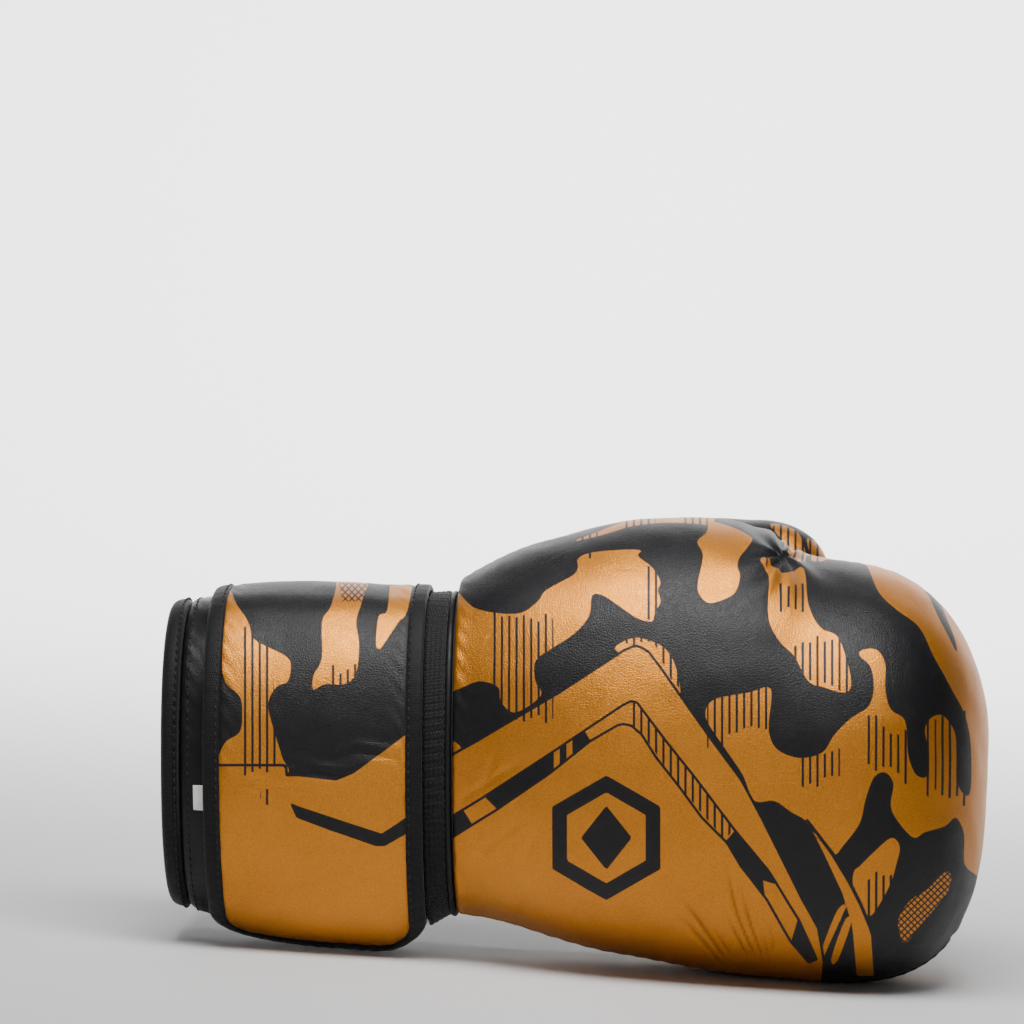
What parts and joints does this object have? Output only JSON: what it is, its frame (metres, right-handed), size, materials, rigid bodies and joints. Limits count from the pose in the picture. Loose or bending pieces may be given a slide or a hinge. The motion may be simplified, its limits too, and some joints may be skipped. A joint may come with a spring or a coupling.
{
  "type": "boxing glove",
  "caption": "Right-hand padded boxing glove with attached thumb, slit cuff and a wrap-round hook-and-loop wrist strap, lying on its little-finger side.",
  "frame": {"origin": "centre of the bounding box in X and Y, on the floor plane under the little-finger side", "axes": "+X from the cuff mouth to the fist end, -Y out of the back of the hand, +Y out of the palm, +Z towards the thumb side (up as it lies)"},
  "size_m": [0.2899, 0.128, 0.1586],
  "materials": {
    "print": "pearl gold and black camouflage print, satin",
    "black": "satin black grain",
    "foam": "matte foam",
    "lining": "matte woven lining",
    "tape": "matte ribbed binding tape",
    "loop": "loop pile",
    "hook": "hook tape",
    "label": "white woven label, blank",
    "elastic": "ribbed elastic"
  },
  "bodies": {
    "glove": {"back_leather": "print", "little_side_leather": "print", "palm_leather": "black", "finger_roll_leather": "print", "back_foam": "foam", "index_side_foam": "foam", "little_side_foam": "foam", "palm_foam": "foam", "knuckle_foam": "foam", "finger_roll_foam": "foam", "hand_lining": "lining", "thumb_outer_leather": "print", "thumb_inner_leather": "black", "thumb_foam": "foam", "thumb_lining": "lining", "thumb_web": "black", "thumb_lock": "black", "cuff_leather": "black", "cuff_foam": "foam", "cuff_lining": "lining", "hem_binding": "tape", "wrist_band": "tape", "wrist_piping": "black", "elastic_gusset": "elastic", "loop_patch": "loop", "size_tag": "label", "strap_anchor": "black"},
    "strap_wrap": {"strap_wrap_panel": "print", "strap_wrap_hem_binding": "tape", "strap_wrap_wrist_binding": "tape"},
    "strap_flap": {"strap_flap_panel": "print", "strap_flap_binding": "tape", "hook_patch": "hook"}
  },
  "joints": [
    {"name": "strap_wrap_lift", "type": "hinge", "parent": "glove", "child": "strap_wrap", "pos_m": [-0.0925, 0.04058, 0.04654], "axis": [-1, 0, 0], "range_deg": [0, 48]},
    {"name": "strap_flap_peel", "type": "hinge", "parent": "strap_wrap", "child": "strap_flap", "pos_m": [-0.0925, 0, 0.12928], "axis": [-1, 0, 0], "range_deg": [0, 120]}
  ],
  "couplings": [
    {"joint": "strap_wrap_lift", "follows": "strap_flap_peel", "ratio": 0.4}
  ]
}
